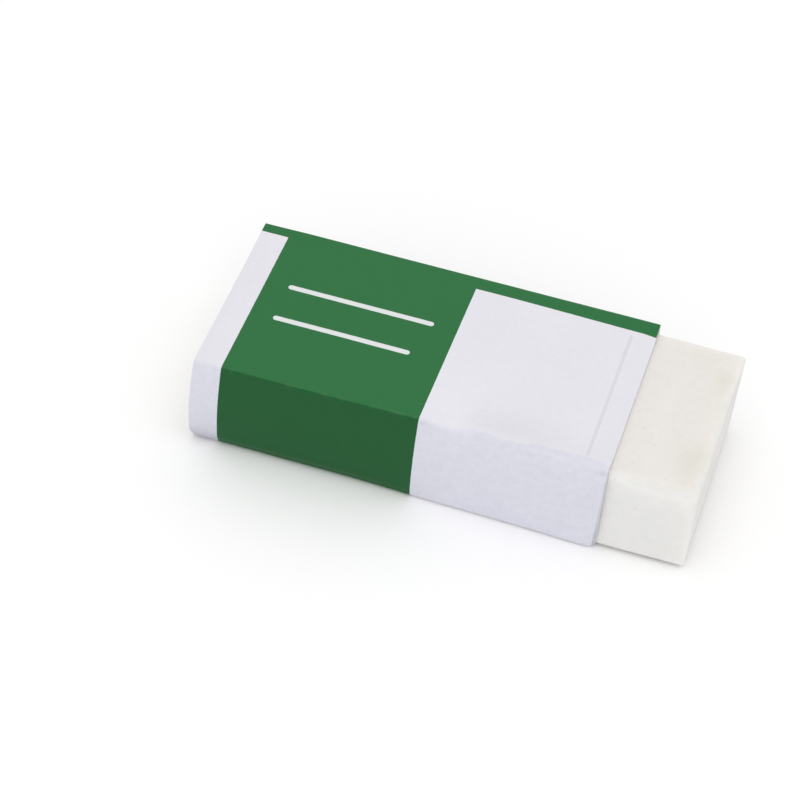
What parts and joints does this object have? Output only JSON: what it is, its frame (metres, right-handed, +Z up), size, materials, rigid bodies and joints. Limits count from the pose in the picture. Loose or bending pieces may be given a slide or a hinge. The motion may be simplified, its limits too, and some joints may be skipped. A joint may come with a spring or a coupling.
{
  "type": "rubber eraser",
  "caption": "White vinyl eraser block held by friction in a printed card sleeve that is open at both ends, with the working end bare.",
  "frame": {"origin": "on the surface that the eraser lies on, under the middle of its whole length and width", "axes": "+X along the block towards its bare working end, +Y towards the glued back panel, +Z up through the top panel"},
  "size_m": [0.055, 0.0246, 0.0116],
  "materials": {
    "printed_card": "matte coated card, green and white print",
    "white_vinyl": "matte warm white vinyl"
  },
  "bodies": {
    "sleeve": {"card_sleeve": "printed_card"},
    "block": {"eraser_block": "white_vinyl"}
  },
  "joints": [
    {"name": "block_slide", "type": "slide", "parent": "sleeve", "child": "block", "axis": [1, 0, 0], "range_m": [-0.0097, 0.047]}
  ]
}
